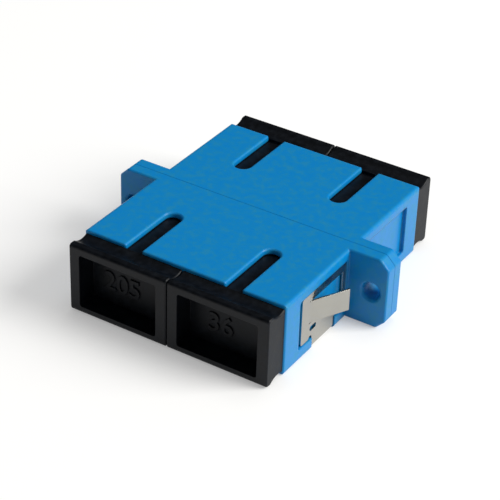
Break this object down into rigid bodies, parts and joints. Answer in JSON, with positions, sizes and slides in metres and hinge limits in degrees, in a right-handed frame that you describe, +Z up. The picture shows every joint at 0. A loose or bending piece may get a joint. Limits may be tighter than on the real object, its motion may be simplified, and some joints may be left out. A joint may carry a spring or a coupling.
{
  "type": "duplex sc fibre adapter",
  "caption": "Flanged two-channel fibre adapter body with key slots, split sleeves, latch hooks, a sheet-steel panel clip and pull-out dust caps.",
  "frame": {"origin": "middle of the body: where the weld plane between the two halves meets the line half way between the two optical axes", "axes": "+X across the two ports, towards the right port seen from the clip side; +Y along the fibre, away from the half that carries the panel clip; +Z up, out of the face with the key slots"},
  "size_m": [0.0352, 0.0352, 0.0088],
  "materials": {
    "blue_plastic": "moulded, satin",
    "cap_plastic": "moulded, satin",
    "insert_plastic": "moulded, natural",
    "spring_steel": "cold rolled, stamped",
    "zirconia": "ground"
  },
  "bodies": {
    "adapter": {"housing_front": "blue_plastic", "housing_rear": "blue_plastic", "panel_clip": "spring_steel", "alignment_sleeve_left": "zirconia", "alignment_sleeve_right": "zirconia", "latch_insert_front_left": "insert_plastic", "latch_insert_front_right": "insert_plastic", "latch_insert_rear_left": "insert_plastic", "latch_insert_rear_right": "insert_plastic"},
    "cap_front_left": {"dust_cap_front_left": "cap_plastic"},
    "cap_front_right": {"dust_cap_front_right": "cap_plastic"},
    "cap_rear_left": {"dust_cap_rear_left": "cap_plastic"},
    "cap_rear_right": {"dust_cap_rear_right": "cap_plastic"}
  },
  "joints": [
    {"name": "cap_front_left_pull", "type": "slide", "parent": "adapter", "child": "cap_front_left", "axis": [0, -1, 0], "range_m": [0, 0.012]},
    {"name": "cap_front_right_pull", "type": "slide", "parent": "adapter", "child": "cap_front_right", "axis": [0, -1, 0], "range_m": [0, 0.012]},
    {"name": "cap_rear_left_pull", "type": "slide", "parent": "adapter", "child": "cap_rear_left", "axis": [0, 1, 0], "range_m": [0, 0.012]},
    {"name": "cap_rear_right_pull", "type": "slide", "parent": "adapter", "child": "cap_rear_right", "axis": [0, 1, 0], "range_m": [0, 0.012]}
  ]
}
